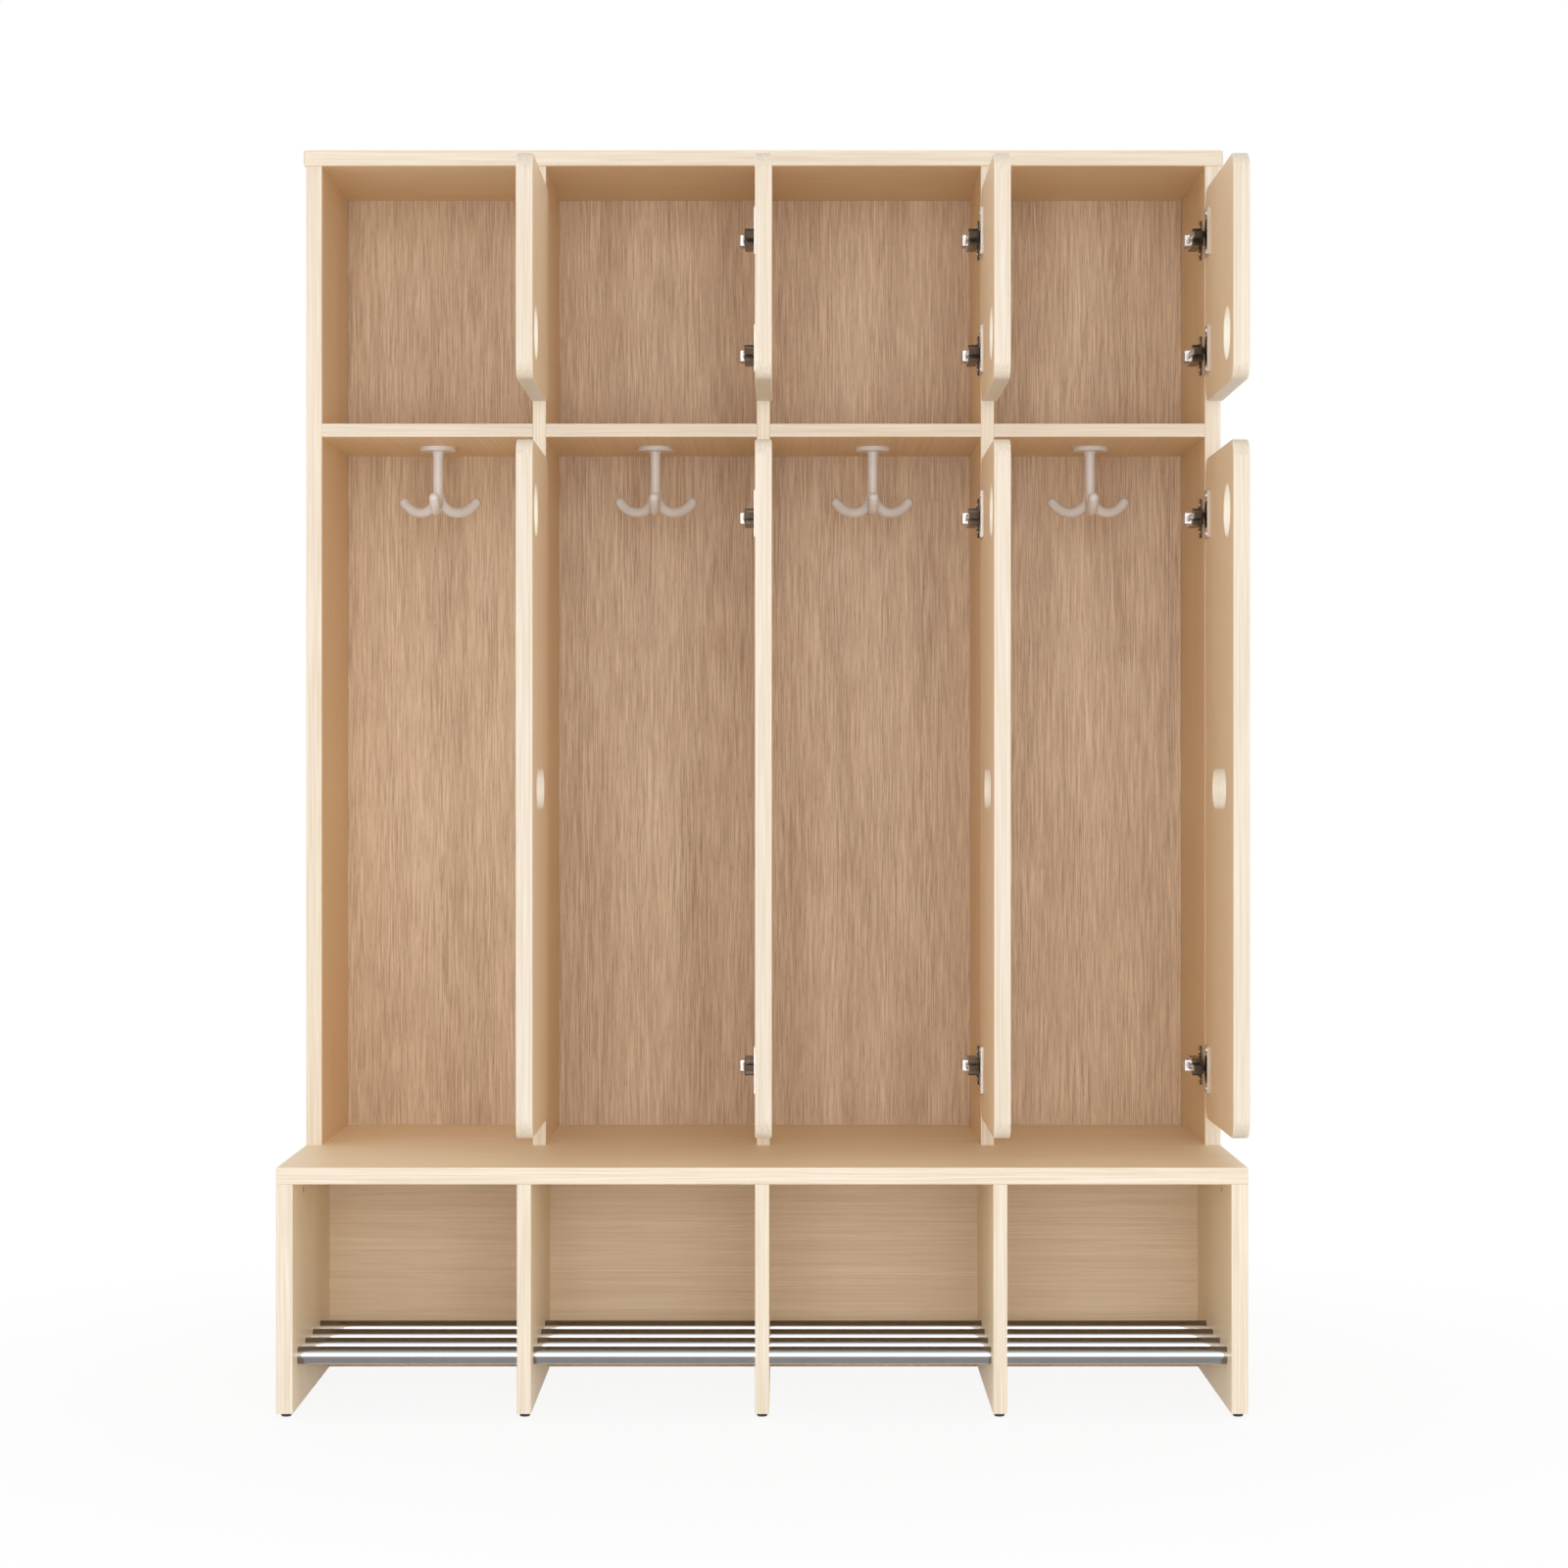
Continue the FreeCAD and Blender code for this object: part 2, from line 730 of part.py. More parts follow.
def glide_places():
    return [(upright_middle(index), y) for index in UPRIGHTS
            for y in (seat_front + glide_from_leg_end, rear - glide_from_leg_end)]


def glide_nail(x, y, play=0.0):
    return rod(glide_nail_radius + play, glide_nail_length + play, Vector(x, y, leg_bottom), ALONG_Z)


def foot_glide(x, y):
    """A round pad with a nail that holds it in the leg's end."""
    pad = rod(glide_radius, glide_height, Vector(x, y, 0), ALONG_Z)
    pad = rounded(pad, glide_edge_radius, lambda edge: lies_at(edge.BoundBox.ZMin, edge.BoundBox.ZMax, 0))
    return pad.fuse(glide_nail(x, y)).removeSplitter()


def back_screw_places():
    """The screws that hold the back panel, along the rear edge of each divider."""
    levels = [at_share(seat_top, cabinet_top, share) for share in back_screw_shares]
    return [(upright_middle(index), rear, level) for index in range(1, bay_count) for level in levels]


def back_screw(x, y, z, play=0.0):
    """A screw whose head lies flush in the panel's rear face, and which runs forward into the divider."""
    head = rod(screw_head_radius + play, screw_head_height + play, Vector(x, y, z), -ALONG_Y)
    shank = rod(screw_radius + play, back_screw_length + play, Vector(x, y, z), -ALONG_Y)
    return head.fuse(shank).removeSplitter()


def back_screw_bores():
    return [back_screw(*place, screw_play) for place in back_screw_places()]


def upright_cutters():
    """The dowel and fitting bores of every upright of the lockers."""
    dowels = top_dowels(dowel_play) + seat_dowels(dowel_play) + shelf_dowels(dowel_play)
    return dowels + fitting_cutters()


def side_panel(index):
    depth = (cabinet_front, rear)
    panel = block(upright_span(index), depth, (seat_top, cabinet_top))
    panel = rounded(panel, board_edge_radius, lambda edge: along_front(edge, cabinet_front)
                    and edge.BoundBox.ZLength > side_height - same_place)
    cutters = upright_cutters()
    if index == bay_count:
        cutters += upright_screw_bores(bay_count - 1)
    return without(panel, cutters)


def divider(index):
    panel = block(upright_span(index), (cabinet_front, back_face), (seat_top, cabinet_top))
    panel = rounded(panel, board_edge_radius, lambda edge: along_front(edge, cabinet_front)
                    and edge.BoundBox.ZLength > side_height - same_place)
    cutters = upright_cutters() + upright_screw_bores(index - 1) + back_screw_bores()
    return without(panel, cutters)


def leg(index):
    board = block(upright_span(index), (seat_front, rear), (leg_bottom, leg_top))
    board = rounded(board, board_edge_radius, lambda edge: along_front(edge, seat_front)
                    and edge.BoundBox.ZLength > leg_height - same_place)
    cutters = seat_dowels(dowel_play) + bench_back_dowels(dowel_play) + fitting_cutters() + rail_bores()
    cutters += [glide_nail(x, y, dowel_play) for x, y in glide_places()]
    return without(board, cutters)


def bench_back(bay):
    board = block(bay_span(bay), (bench_back_face, bench_back_face + thin_board), (leg_bottom, leg_top))
    return without(board, bench_back_dowels(dowel_play))


def shelf(bay):
    board = block(bay_span(bay), (cabinet_front, back_face), (shelf_bottom, shelf_top))
    board = rounded(board, board_edge_radius, lambda edge: along_front(edge, cabinet_front)
                    and edge.BoundBox.XLength > bay_width - same_place)
    return without(board, shelf_dowels(dowel_play) + [moved(hook_stud(hook_stud_play), *hook_place(bay))])


def seat_board():
    board = block((-half_width, half_width), (seat_front, rear), (leg_top, seat_top))
    board = rounded(board, board_edge_radius, lambda edge: edge.BoundBox.YMin < seat_front + same_place)
    return without(board, seat_dowels(dowel_play) + fitting_cutters())


def top_board():
    half = half_width + top_overhang
    board = block((-half, half), (cabinet_front - top_overhang, rear), (cabinet_top, whole_height))
    board = rounded(board, top_corner_radius, lambda edge: edge.BoundBox.ZLength > thick_board - same_place
                    and edge.BoundBox.YMin < cabinet_front)
    board = rounded(board, top_edge_radius, lambda edge: edge.BoundBox.ZLength < same_place
                    and not lies_at(edge.BoundBox.YMin, edge.BoundBox.YMax, rear))
    return without(board, top_dowels(dowel_play) + fitting_cutters())


def back_panel():
    half = half_inside - back_panel_play
    board = block((-half, half), (back_face, rear), (seat_top, cabinet_top))
    return without(board, back_screw_bores())


def every_hinge():
    return [(bay, level) for bay in BAYS for level in hinge_levels()]


parts = {
    "side_panel_left": side_panel(0),
    "side_panel_right": side_panel(bay_count),
    "top_board": top_board(),
    "seat_board": seat_board(),
    "back_panel": back_panel(),
    "leg_left": leg(0),
    "leg_right": leg(bay_count),
}
for number in range(1, bay_count):
    parts[f"divider_{number}"] = divider(number)
    parts[f"leg_inner_{number}"] = leg(number)
hook = coat_hook()
for bay in BAYS:
    parts[f"shelf_{bay + 1}"] = shelf(bay)
    parts[f"bench_back_{bay + 1}"] = bench_back(bay)
    parts[f"coat_hook_{bay + 1}"] = moved(hook, *hook_place(bay))
for number, y in enumerate(rail_places(), 1):
    parts[f"shoe_rail_{number}"] = shoe_rail(y)

cup_pieces = [hinge_cup(), hinge_pin()] + cup_screws()
for name, level in door_levels().items():
    for bay in BAYS:
        parts[f"{name}_door_{bay + 1}"] = door(bay, level)
        cups = [in_place(piece, bay, height) for height in level["hinges"] for piece in cup_pieces]
        parts[f"{name}_door_{bay + 1}_hinge_cups"] = Part.makeCompound(cups)

groups = {
    "foot_glides": [foot_glide(x, y) for x, y in glide_places()],
    "hook_studs": [moved(hook_stud(), *hook_place(bay)) for bay in BAYS],
    "hinge_plates": [in_place(hinge_plate(), *place) for place in every_hinge()],
    "hinge_arms": [in_place(hinge_arm(), *place) for place in every_hinge()],
    "hinge_screws": [in_place(piece, *place) for place in every_hinge() for piece in hinge_screws()],
    "back_screws": [back_screw(*place) for place in back_screw_places()],
    "dowels": top_dowels() + seat_dowels() + shelf_dowels() + bench_back_dowels(),
    "cam_locks": [cam(index, y, z) for index, y, z, joint in cam_places()],
    "cam_bolts": [cam_bolt(index, y, z, joint) for index, y, z, joint in cam_places()],
}
for name, solids in groups.items():
    parts[name] = Part.makeCompound(solids)

os.makedirs("parts", exist_ok=True)
for name, shape in parts.items():
    shape.exportStep(f"parts/{name}.step")
    print(f"{name}: {len(shape.Solids)} solids, valid {shape.isValid()}, {shape.Volume / 1e6:.4f} litres")
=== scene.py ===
# %% [markdown]
# # A cloakroom bench, dressed in Blender
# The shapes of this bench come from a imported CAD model: boards, doors, hinges, hooks and rails, each a
# node of its own. Blender's work is the looks. This lesson loads the model, puts a camera and light
# around it, and then makes one finish after another: laminated birch, streaky back panels, moulded
# plastic, chrome and nickel.

# %% Load the bench
import math

import bpy
import bmesh
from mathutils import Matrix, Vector

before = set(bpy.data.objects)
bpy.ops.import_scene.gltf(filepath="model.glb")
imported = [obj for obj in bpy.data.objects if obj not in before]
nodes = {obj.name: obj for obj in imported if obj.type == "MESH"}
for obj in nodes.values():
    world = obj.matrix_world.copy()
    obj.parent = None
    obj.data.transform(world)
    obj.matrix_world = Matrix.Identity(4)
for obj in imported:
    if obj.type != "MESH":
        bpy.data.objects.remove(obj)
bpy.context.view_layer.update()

# %% [markdown]
# ## The camera
# The photograph is taken square on: uprights stay upright and shelves stay level, so the camera looks
# straight along +Y from about the middle of the bench's height. Only the distance and the lens are left
# to find. The step between the seat's front edge and the lockers behind it gives the distance, and the
# width in the frame gives the lens.

# %% Camera
camera_data = bpy.data.cameras.new("camera")
camera_data.sensor_width = 36.0
camera_data.lens = 81.34
camera = bpy.data.objects.new("camera", camera_data)
camera.location = (0.0248, -4.25625, 0.718)
camera.rotation_euler = (math.radians(90), 0, 0)
bpy.context.scene.collection.objects.link(camera)
bpy.context.scene.camera = camera
print("camera at", tuple(round(v, 3) for v in camera.location), "lens", camera_data.lens)

# %% [markdown]
# ## A white background
# A studio shot on white has even light from all round, which the world gives. Its strength for light is
# lower than the white that the camera sees, so Light Path tells the two apart. Mirror-like metal sees
# the white as well, as it would in a white studio.

# %% World
WORLD_LIGHT = (1.0, 0.985, 0.96, 1)
WORLD_STRENGTH = 0.74
WHITE = (1, 1, 1, 1)

bpy.context.scene.view_settings.view_transform = "Standard"
world = bpy.data.worlds.new("white_studio")
world.use_nodes = True
bpy.context.scene.world = world
world_nodes = world.node_tree.nodes
world_links = world.node_tree.links
world_nodes.clear()


def seen_mask(nodes_of, links_of):
    """A value of 1 for rays that look at the background: camera, mirror and glass rays."""
    path = nodes_of.new("ShaderNodeLightPath")
    glossy = nodes_of.new("ShaderNodeMath")
    glossy.operation = "MAXIMUM"
    links_of.new(path.outputs["Is Camera Ray"], glossy.inputs[0])
    links_of.new(path.outputs["Is Glossy Ray"], glossy.inputs[1])
    seen = nodes_of.new("ShaderNodeMath")
    seen.operation = "MAXIMUM"
    links_of.new(glossy.outputs[0], seen.inputs[0])
    links_of.new(path.outputs["Is Transmission Ray"], seen.inputs[1])
    return seen.outputs[0]


lighting = world_nodes.new("ShaderNodeBackground")
lighting.inputs["Color"].default_value = WORLD_LIGHT
lighting.inputs["Strength"].default_value = WORLD_STRENGTH
white = world_nodes.new("ShaderNodeBackground")
white.inputs["Color"].default_value = WHITE
white.inputs["Strength"].default_value = 1.0
choose = world_nodes.new("ShaderNodeMixShader")
world_out = world_nodes.new("ShaderNodeOutputWorld")
world_links.new(seen_mask(world_nodes, world_links), choose.inputs["Fac"])
world_links.new(lighting.outputs[0], choose.inputs[1])
world_links.new(white.outputs[0], choose.inputs[2])
world_links.new(choose.outputs[0], world_out.inputs["Surface"])
print("world:", world.name, "with light of", WORLD_STRENGTH)

# %% [markdown]
# ## Lamps
# A broad lamp behind the camera makes the front edges of the boards brighter than the insides of the
# lockers. It is kept low enough that a closed door, which faces it, still shows its grain. Three weaker
# lamps near the floor reach into the shoe bays, from the front and from both sides.


# %% Lamps
def soft_lamp(name, place, look_at, across, watts):
    """A square area lamp that faces a point."""
    data = bpy.data.lights.new(name, "AREA")
    data.shape = "SQUARE"
    data.size = across
    data.energy = watts
    lamp = bpy.data.objects.new(name, data)
    lamp.location = place
    lamp.rotation_euler = (Vector(look_at) - Vector(place)).to_track_quat("-Z", "Y").to_euler()
    bpy.context.scene.collection.objects.link(lamp)
    lamp.visible_camera = False
    return lamp


lamps = [
    soft_lamp("key_lamp", place=(0.3, -5.4, 1.1), look_at=(0, 0, 0.7), across=3.2, watts=56),
    soft_lamp("low_lamp", place=(0, -3.3, 0.35), look_at=(0, 0, 0.2), across=1.6, watts=14),
    soft_lamp("left_lamp", place=(-3, -3.2, 0.45), look_at=(0, 0, 0.2), across=1.6, watts=19),
    soft_lamp("right_lamp", place=(3, -3.2, 0.45), look_at=(0, 0, 0.2), across=1.6, watts=19),
]
print("lamps:", [(lamp.name, lamp.data.energy) for lamp in lamps])

# %% [markdown]
# ## The floor
# The floor is a plain pale sheet that takes the bench's soft shadow. For the camera a share of white is
# mixed in, a little less beside the bench than further off, so that the shadow stays and the open floor
# runs into the white behind it without a horizon. The white isn't light: diffuse rays never see it.

# %% Floor
FLOOR_HALF = 12
FLOOR_TONE = (0.86, 0.86, 0.86, 1)
FADE_FROM, FADE_TO = 0.5, 1.4
NEAR_WHITE, FAR_WHITE = 0.9, 1.0

floor_mesh = bpy.data.meshes.new("floor")
floor_bm = bmesh.new()
bmesh.ops.create_grid(floor_bm, x_segments=1, y_segments=1, size=FLOOR_HALF)
floor_bm.to_mesh(floor_mesh)
floor_bm.free()
floor = bpy.data.objects.new("floor", floor_mesh)
bpy.context.scene.collection.objects.link(floor)
floor_paint = bpy.data.materials.new("floor_paint")
floor_paint.use_nodes = True
paint_nodes = floor_paint.node_tree.nodes
paint_links = floor_paint.node_tree.links
paint_nodes.clear()
matt = paint_nodes.new("ShaderNodeBsdfDiffuse")
matt.inputs["Color"].default_value = FLOOR_TONE
glow = paint_nodes.new("ShaderNodeEmission")
glow.inputs["Color"].default_value = WHITE
place = paint_nodes.new("ShaderNodeTexCoord")
away = paint_nodes.new("ShaderNodeVectorMath")
away.operation = "LENGTH"
fade = paint_nodes.new("ShaderNodeMapRange")
fade.interpolation_type = "SMOOTHSTEP"
for socket, number in zip(fade.inputs[1:5], (FADE_FROM, FADE_TO, NEAR_WHITE, FAR_WHITE)):
    socket.default_value = number
white_share = paint_nodes.new("ShaderNodeMath")
white_share.operation = "MULTIPLY"
mixed = paint_nodes.new("ShaderNodeMixShader")
paint_out = paint_nodes.new("ShaderNodeOutputMaterial")
paint_links.new(place.outputs["Object"], away.inputs[0])
paint_links.new(away.outputs["Value"], fade.inputs["Value"])
paint_links.new(seen_mask(paint_nodes, paint_links), white_share.inputs[0])
paint_links.new(fade.outputs["Result"], white_share.inputs[1])
paint_links.new(white_share.outputs[0], mixed.inputs["Fac"])
paint_links.new(matt.outputs[0], mixed.inputs[1])
paint_links.new(glow.outputs[0], mixed.inputs[2])
paint_links.new(mixed.outputs[0], paint_out.inputs["Surface"])
floor_mesh.materials.append(floor_paint)
print("floor:", floor.name, FLOOR_HALF, "m to each side")

# %% [markdown]
# ## Small tools for node trees
# The finishes below are built from a few kinds of node, again and again: noise that is stretched along
# one axis, a value moved from one range to another, a sum of two values, and two colours mixed by a
# mask. One function makes each. A node group is a tree with sockets of its own.


# %% Node tools
def add(tree, kind, label=None, **settings):
    """A new node in a tree, with some of its properties set."""
    node = tree.nodes.new(kind)
    for name, value in settings.items():
        setattr(node, name, value)
    if label:
        node.label = label
    return node


def stretched_noise(tree, vector, name, across, along, detail, roughness):
    """Noise whose spots are 1/across metres wide and 1/along metres long."""
    scale = add(tree, "ShaderNodeVectorMath", name, operation="MULTIPLY")
    scale.inputs[1].default_value = (across, across, along)
    tree.links.new(vector, scale.inputs[0])
    noise = add(tree, "ShaderNodeTexNoise", name)
    noise.inputs["Scale"].default_value = 1.0
    noise.inputs["Detail"].default_value = detail
    noise.inputs["Roughness"].default_value = roughness
    tree.links.new(scale.outputs[0], noise.inputs["Vector"])
    return noise.outputs["Fac"]


def remap(tree, value, low, high, to_low=0, to_high=1):
    """A value moved from one range to another, and kept inside it."""
    node = add(tree, "ShaderNodeMapRange")
    node.clamp = True
    for socket, number in zip(node.inputs[1:5], (low, high, to_low, to_high)):
        socket.default_value = number
    tree.links.new(value, node.inputs["Value"])
    return node.outputs["Result"]


def arithmetic(tree, operation, first, second=0.0):
    """One sum of two values, each a socket or a number."""
    node = add(tree, "ShaderNodeMath", operation=operation)
    for socket, value in zip(node.inputs, (first, second)):
        if isinstance(value, (int, float)):
            socket.default_value = value
        else:
            tree.links.new(value, socket)
    return node.outputs[0]


def blend_colours(tree, mask, first, second):
    """Two colours mixed by a mask; each is a socket or a colour."""
    node = add(tree, "ShaderNodeMix", data_type="RGBA", blend_type="MIX")
    for socket, value in ((node.inputs[0], mask), (node.inputs[6], first), (node.inputs[7], second)):
        if isinstance(value, (int, float, tuple)):
            socket.default_value = value
        else:
            tree.links.new(value, socket)
    return node.outputs[2]


def new_group(name, inputs, outputs):
    """A node group with its sockets, and its input and output nodes."""
    group = bpy.data.node_groups.new(name, "ShaderNodeTree")
    for socket, kind, start in inputs:
        made = group.interface.new_socket(socket, in_out="INPUT", socket_type=kind)
        if start is not None:
            made.default_value = start
    for socket, kind in outputs:
        group.interface.new_socket(socket, in_out="OUTPUT", socket_type=kind)
    return group, group.nodes.new("NodeGroupInput"), group.nodes.new("NodeGroupOutput")


print("node tools:", add.__name__, stretched_noise.__name__, remap.__name__, new_group.__name__)

# %% [markdown]
# ## Grain
# Every board wears the same kind of wood-print laminate: fine fibre lines, wider streaks, a slow change
# of tone from one part of the sheet to the next, and short dashes. All four are noise that is stretched
# along the fibres, which sway a little, so one node group makes them, and each finish sets its own
# colours and strengths. The group reads object coordinates, in metres, that have been turned so that
# the fibres run along Z.

# %% The grain group
VALUE = "NodeSocketFloat"
COLOUR = "NodeSocketColor"
VECTOR = "NodeSocketVector"
GRAIN_SHAPES = {
    "Fibres": {"across": 680, "along": 8, "detail": 1.5, "roughness": 0.5},
    "Streaks": {"across": 250, "along": 2.2, "detail": 2.0, "roughness": 0.55},
    "Tone": {"across": 14, "along": 0.9, "detail": 1.0, "roughness": 0.5},
    "Dashes": {"across": 540, "along": 36, "detail": 1.0, "roughness": 0.5},
}
GRAIN_RANGES = {"Fibres": (0.36, 0.64), "Streaks": (0.35, 0.66), "Tone": (0.3, 0.7), "Dashes": (0.54, 0.66)}
SWAY = (0.004, 0.004, 0)
SATIN = (0.42, 0.52)

grain, grain_in, grain_out = new_group(
    "laminate_grain",
    [("Vector", VECTOR, None), ("Pale", COLOUR, (0.8, 0.7, 0.5, 1)), ("Deep", COLOUR, (0.6, 0.45, 0.3, 1)),
     ("Fibres", VALUE, 0.3), ("Streaks", VALUE, 0.3), ("Tone", VALUE, 0.3), ("Dashes", VALUE, 0.0)],
    [("Color", COLOUR), ("Roughness", VALUE), ("Height", VALUE)],
)
straight = grain_in.outputs["Vector"]
sway = stretched_noise(grain, straight, "sway", across=9, along=2.5, detail=1.0, roughness=0.5)
wave = add(grain, "ShaderNodeVectorMath", "wave", operation="MULTIPLY_ADD")
grain.links.new(sway, wave.inputs[0])
wave.inputs[1].default_value = SWAY
grain.links.new(straight, wave.inputs[2])
lines = {}
depth = 0.0
for name, shape in GRAIN_SHAPES.items():
    noise = stretched_noise(grain, wave.outputs[0], name, **shape)
    lines[name] = remap(grain, noise, *GRAIN_RANGES[name])
    share = arithmetic(grain, "MULTIPLY", lines[name], grain_in.outputs[name])
    depth = arithmetic(grain, "ADD", share, depth)
depth = arithmetic(grain, "MINIMUM", depth, 1.0)
grain_colour = blend_colours(grain, depth, grain_in.outputs["Pale"], grain_in.outputs["Deep"])
grain.links.new(grain_colour, grain_out.inputs["Color"])
grain.links.new(remap(grain, lines["Fibres"], 0, 1, *SATIN), grain_out.inputs["Roughness"])
height = arithmetic(grain, "ADD", lines["Fibres"], lines["Dashes"])
grain.links.new(height, grain_out.inputs["Height"])
print("group:", grain.name, "with", len(grain.nodes), "nodes")

# %% [markdown]
# ## Faces and edges
# A board has two looks. Its broad faces carry the print, a warm tan. Its narrow sides carry a paler edge
# band, whose lines run along the edge. Which is which follows from the way a face points, in the board's
# own coordinates, so it stays right when a door turns. The mask is worked out once, in a group of its
# own. A second mask marks the round corner between face and edge, where a paler tone is a painted
# highlight.

# %% The edge band group
EDGE_TO_FACE = (0.55, 0.85)
EDGE_TO_CORNER = (0.1, 0.4)
CORNER_TO_FACE = (0.8, 0.98)

band, band_in, band_out = new_group(
    "edge_band",
    [("Normal", VECTOR, None), ("Across", VECTOR, (1, 0, 0))],
    [("Band", VALUE), ("Corner", VALUE)],
)
facing = add(band, "ShaderNodeVectorMath", "facing", operation="DOT_PRODUCT")
band.links.new(band_in.outputs["Normal"], facing.inputs[0])
band.links.new(band_in.outputs["Across"], facing.inputs[1])
broad = arithmetic(band, "ABSOLUTE", facing.outputs["Value"])
on_edge = remap(band, broad, *EDGE_TO_FACE, 1, 0)
off_edge = remap(band, broad, *EDGE_TO_CORNER)
off_face = remap(band, broad, *CORNER_TO_FACE, 1, 0)
band.links.new(on_edge, band_out.inputs["Band"])
# The Corner output marks the round corners, where the painted highlight goes.
band.links.new(arithmetic(band, "MULTIPLY", off_edge, off_face), band_out.inputs["Corner"])
print("group:", band.name)

# %% [markdown]
# ## Parts of a finish
# Every finish starts from a plain material. The grain is placed in it with a turn, so that its lines run
# the right way, and a fine relief can be added from any height.


# %% Parts of a finish
def plain_material(name):
    """A material with a Principled shader, and its texture coordinates."""
    material = bpy.data.materials.new(name)
    material.use_nodes = True
    tree = material.node_tree
    shader = tree.nodes["Principled BSDF"]
    coordinates = add(tree, "ShaderNodeTexCoord")
    return material, tree, shader, coordinates


def grain_place(tree, coordinates, name, tones, turn, offset, strengths, finer=1.0, shorter=1.0):
    """The grain group in a material, turned to its fibres, with lines made finer and shorter."""
    mapping = add(tree, "ShaderNodeMapping", name)
    mapping.inputs["Rotation"].default_value = turn
    mapping.inputs["Location"].default_value = offset
    tree.links.new(coordinates.outputs["Object"], mapping.inputs["Vector"])
    node = add(tree, "ShaderNodeGroup", name, node_tree=grain)
    narrow = add(tree, "ShaderNodeVectorMath", name, operation="MULTIPLY")
    narrow.inputs[1].default_value = (finer, finer, shorter)
    tree.links.new(mapping.outputs[0], narrow.inputs[0])
    tree.links.new(narrow.outputs[0], node.inputs["Vector"])
    for socket, colour in zip(("Pale", "Deep"), tones):
        node.inputs[socket].default_value = (*colour, 1)
    for socket, number in zip(GRAIN_SHAPES, strengths):
        node.inputs[socket].default_value = number
    return node


def add_relief(tree, shader, height, strength, distance):
    """A fine relief on a shader, from a height."""
    relief = add(tree, "ShaderNodeBump")
    relief.inputs["Strength"].default_value = strength
    relief.inputs["Distance"].default_value = distance
    tree.links.new(height, relief.inputs["Height"])
    tree.links.new(relief.outputs["Normal"], shader.inputs["Normal"])


print("parts of a finish:", plain_material.__name__, grain_place.__name__, add_relief.__name__)

# %% [markdown]
# ## How a board finish is made
# A board finish places the grain twice, once for the faces and once for the edges, and lets the band
# mask choose between them. The corners take a share of a paler tone, a painted highlight, and the relief
# follows the fibres.

# %% Board finish
UPRIGHT = (0, 0, 0)
LEVEL = (0, math.radians(90), 0)
INWARD = (math.radians(90), 0, 0)
FACE_GRAIN = (0.25, 0.2, 0.3, 0.05)
EDGE_GRAIN = (0.7, 0.3, 0.1, 0.0)
EDGE_FINER = 0.95
# The paler tone on the round corners is a painted highlight.
CORNER_HIGHLIGHT_TONE = (0.97, 0.875, 0.74, 1)
CORNER_HIGHLIGHT_SHARE = 0.5
FIBRE_RELIEF = 0.0004


def board_finish(name, face, edge, turn, across, offset=(0, 0, 0), face_grain=FACE_GRAIN,
                 edge_grain=EDGE_GRAIN, bump=0.06, edge_turn=None, shorter=1.0, finer=1.0):
    """Laminated board: a printed face, a paler band on its edges, and a fine satin surface."""
    material, tree, shader, coordinates = plain_material(name)
    along_edge = edge_turn or turn
    print_grain = grain_place(tree, coordinates, "face", face, turn, offset, face_grain, finer, shorter)
    edge_lines = grain_place(tree, coordinates, "edge", edge, along_edge, offset, edge_grain, EDGE_FINER)
    mask = add(tree, "ShaderNodeGroup", "band", node_tree=band)
    tree.links.new(coordinates.outputs["Normal"], mask.inputs["Normal"])
    mask.inputs["Across"].default_value = across
    both = (print_grain.outputs["Color"], edge_lines.outputs["Color"])
    colour = blend_colours(tree, mask.outputs["Band"], *both)
    # Painted highlight: the round corners take a share of a paler tone.
    corner = arithmetic(tree, "MULTIPLY", mask.outputs["Corner"], CORNER_HIGHLIGHT_SHARE)
    colour = blend_colours(tree, corner, colour, CORNER_HIGHLIGHT_TONE)
    tree.links.new(colour, shader.inputs["Base Color"])
    tree.links.new(print_grain.outputs["Roughness"], shader.inputs["Roughness"])
    add_relief(tree, shader, print_grain.outputs["Height"], bump, FIBRE_RELIEF)
    return material


print("corners take", CORNER_HIGHLIGHT_SHARE, "of", CORNER_HIGHLIGHT_TONE)

# %% [markdown]
# ## Board finishes
# Lockers, doors and bench differ a little in tone, so each has its own pair of colours: the pale ground
# and the deep lines. The bench's pair is paler, partly its own tone and partly painted light for the legs
# under the seat. The lines run up the uprights, legs and doors, along the top and the seat, and inwards
# on the shelves, whose front edges still have lines along them.

# %% Board finishes
LOCKER_FACE = ((0.915, 0.70, 0.45), (0.785, 0.578, 0.363))
DOOR_FACE = ((0.95, 0.765, 0.55), (0.82, 0.63, 0.425))
# The bench's paler pair is partly its own tone and partly painted light for the shade under the seat.
BENCH_FACE = ((0.99, 0.815, 0.58), (0.88, 0.70, 0.475))
EDGE = ((0.92, 0.825, 0.70), (0.775, 0.658, 0.508))
DOOR_EDGE = ((0.845, 0.755, 0.645), (0.722, 0.612, 0.475))
SHELF_GRAIN = (0.1, 0.5, 0.2, 0.0)
DOOR_GRAIN = (0.4, 0.2, 0.1, 0.0)
X_AXIS, Y_AXIS, Z_AXIS = (1, 0, 0), (0, 1, 0), (0, 0, 1)

